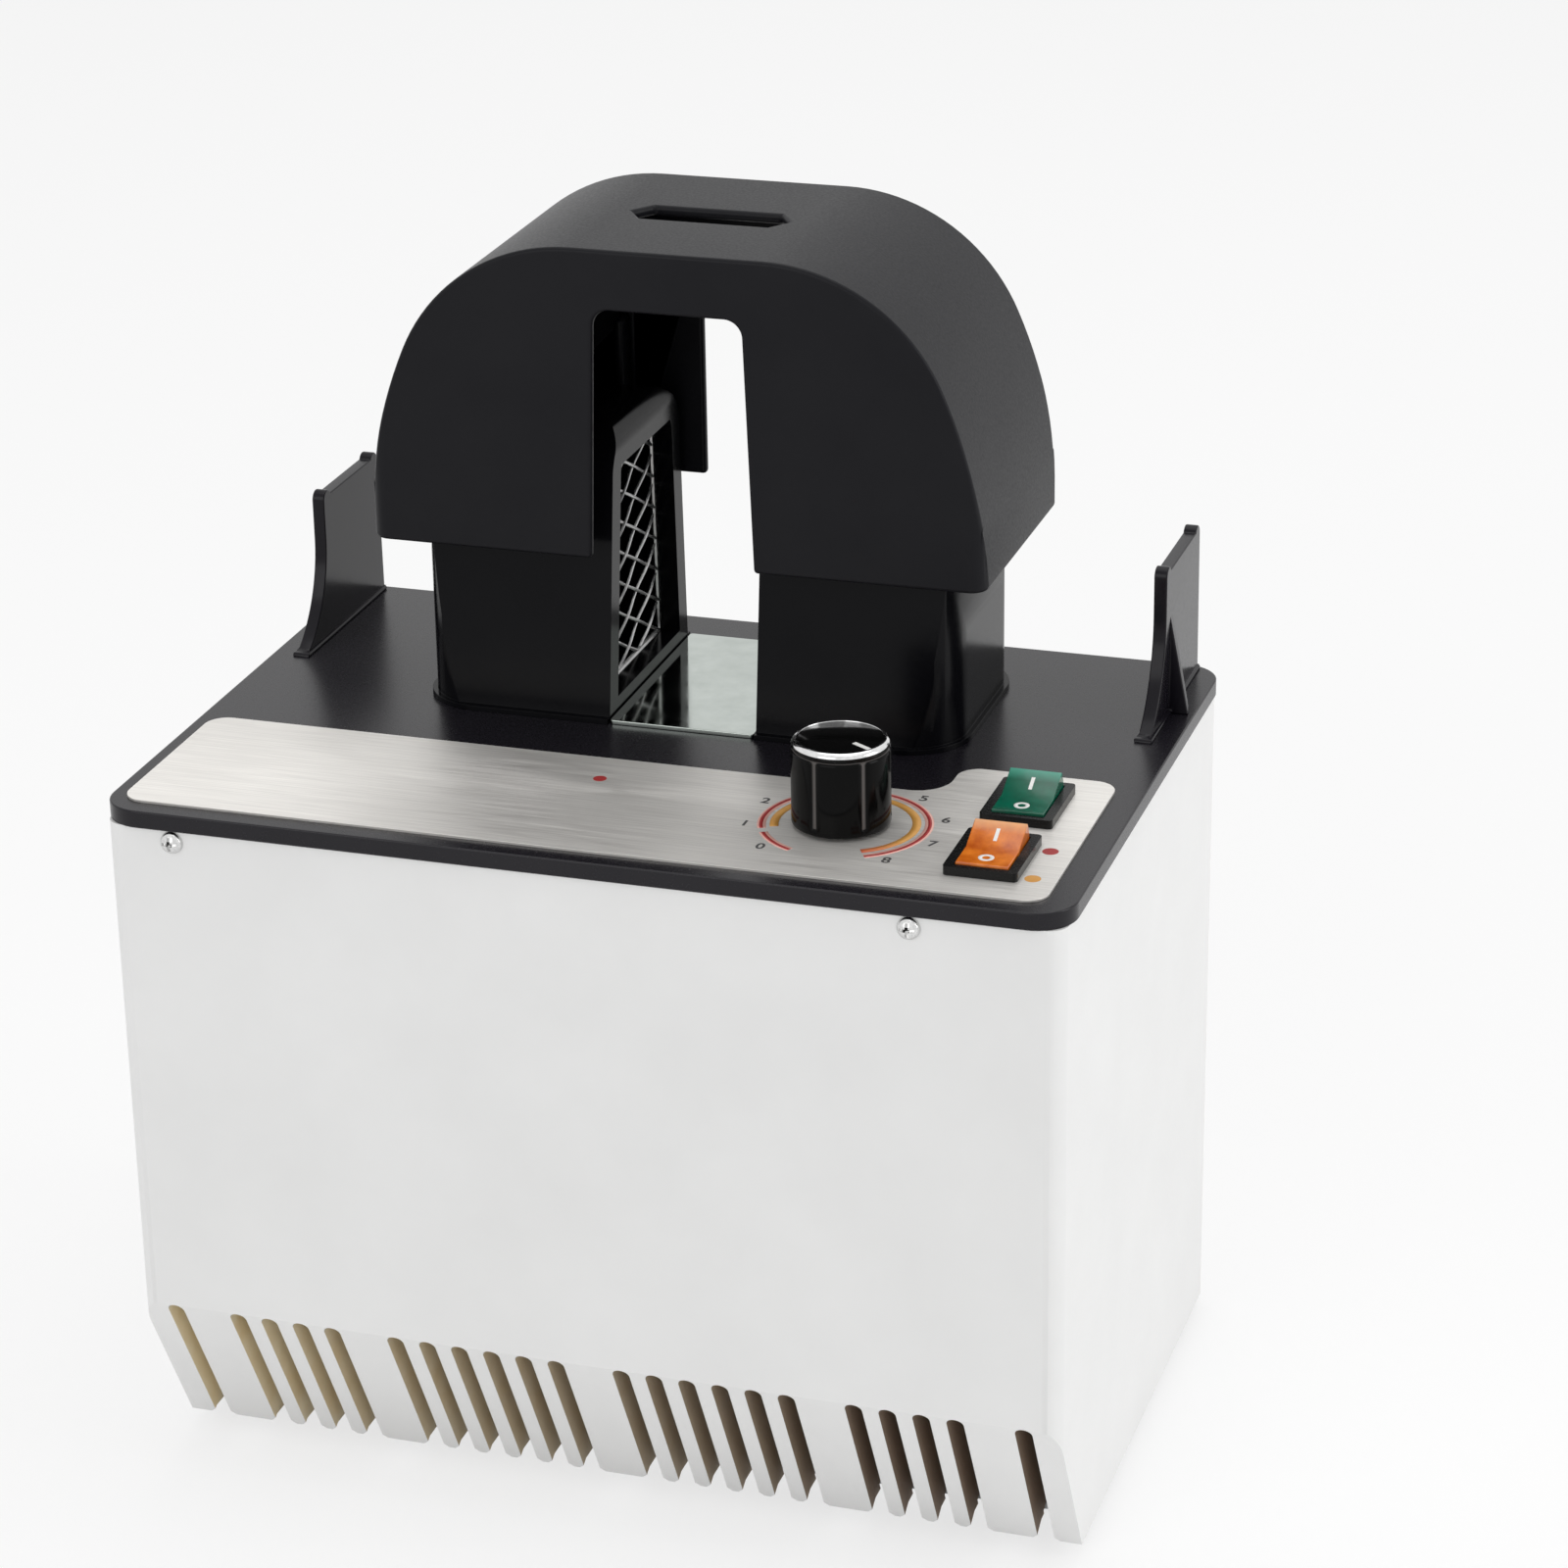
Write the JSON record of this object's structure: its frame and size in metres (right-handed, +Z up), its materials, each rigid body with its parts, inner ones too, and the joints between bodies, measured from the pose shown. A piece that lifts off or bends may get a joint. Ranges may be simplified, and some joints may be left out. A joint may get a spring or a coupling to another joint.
{
  "type": "eyeglass frame warmer",
  "caption": "Counter-top hot-air warmer for eyeglass frames: white casing, twin facing air ducts with wire grilles, lift-off hood, side rests, control knob and two rocker switches.",
  "frame": {"origin": "centre of the base, on the surface that the feet stand on", "axes": "+Z up, +X to the operator's right, -Y towards the operator"},
  "size_m": [0.216, 0.1472, 0.2753],
  "materials": {
    "white_casing": "satin white moulding",
    "black_cover": "charcoal satin",
    "black_duct": "smooth black",
    "black_hood": "matt black",
    "wire": "bright wire",
    "polished_plate": "polished",
    "brushed_panel": "brushed",
    "black_knob": "gloss",
    "bright_ring": "polished",
    "steel": "turned",
    "black_switch": "gloss",
    "green_rocker": "translucent green",
    "orange_rocker": "translucent orange",
    "screw": "plated",
    "zinc_sheet": "zinc plated sheet",
    "rubber": "matt",
    "grey_plastic": "satin",
    "black_plastic": "satin",
    "mica": "sheet",
    "heater_wire": "drawn wire",
    "board": "lacquered",
    "white_plastic": "satin",
    "alloy": "extruded",
    "yellow_case": "gloss",
    "pin_metal": "plated"
  },
  "bodies": {
    "chassis": {"casing": "white_casing", "cover": "black_cover", "left_side_rest": "black_cover", "right_side_rest": "black_cover", "left_duct": "black_duct", "right_duct": "black_duct", "left_grille": "wire", "right_grille": "wire", "floor_plate": "polished_plate", "control_panel": "brushed_panel", "potentiometer": "steel", "potentiometer_nut": "steel", "mains_switch": "black_switch", "heat_switch": "black_switch", "front_cover_screws": "screw", "back_cover_screws": "screw", "duct_screws": "screw", "base_plate": "zinc_sheet", "base_screws": "screw", "feet": "rubber", "foot_screws": "screw", "blower_housing": "grey_plastic", "blower_bracket": "zinc_sheet", "motor": "zinc_sheet", "motor_screws": "screw", "air_box": "zinc_sheet", "left_heater_frame": "mica", "right_heater_frame": "mica", "left_heater_coil": "heater_wire", "right_heater_coil": "heater_wire", "thermal_cutout": "black_plastic", "control_board": "board", "board_standoffs": "white_plastic", "heat_sink": "alloy", "capacitor": "yellow_case", "terminal_block": "white_plastic", "mains_inlet": "black_switch", "inlet_pins": "pin_metal", "inlet_screws": "screw", "fuse_holder": "black_switch"},
    "hood": {"hood": "black_hood"},
    "knob": {"knob": "black_knob", "knob_cap": "bright_ring", "control_shaft": "steel"},
    "mains_rocker": {"mains_rocker": "green_rocker"},
    "heat_rocker": {"heat_rocker": "orange_rocker"},
    "blower_rotor": {"blower_wheel": "black_plastic", "motor_shaft": "steel"}
  },
  "joints": [
    {"name": "hood_lift", "type": "slide", "parent": "chassis", "child": "hood", "axis": [0, 0, 1], "range_m": [-0.04, 0.026]},
    {"name": "knob_turn", "type": "hinge", "parent": "chassis", "child": "knob", "pos_m": [0.05, -0.0396, 0.17], "axis": [0, 0, 1], "range_deg": [-12, 268]},
    {"name": "mains_rocker_tip", "type": "hinge", "parent": "chassis", "child": "mains_rocker", "pos_m": [0.0858, -0.0206, 0.1656], "axis": [-1, 0, 0], "range_deg": [0, 24]},
    {"name": "heat_rocker_tip", "type": "hinge", "parent": "chassis", "child": "heat_rocker", "pos_m": [0.0858, -0.0494, 0.1656], "axis": [-1, 0, 0], "range_deg": [0, 24]},
    {"name": "blower_spin", "type": "hinge", "parent": "chassis", "child": "blower_rotor", "pos_m": [0.022, 0.026, 0.065], "axis": [0, 1, 0], "continuous": true}
  ]
}
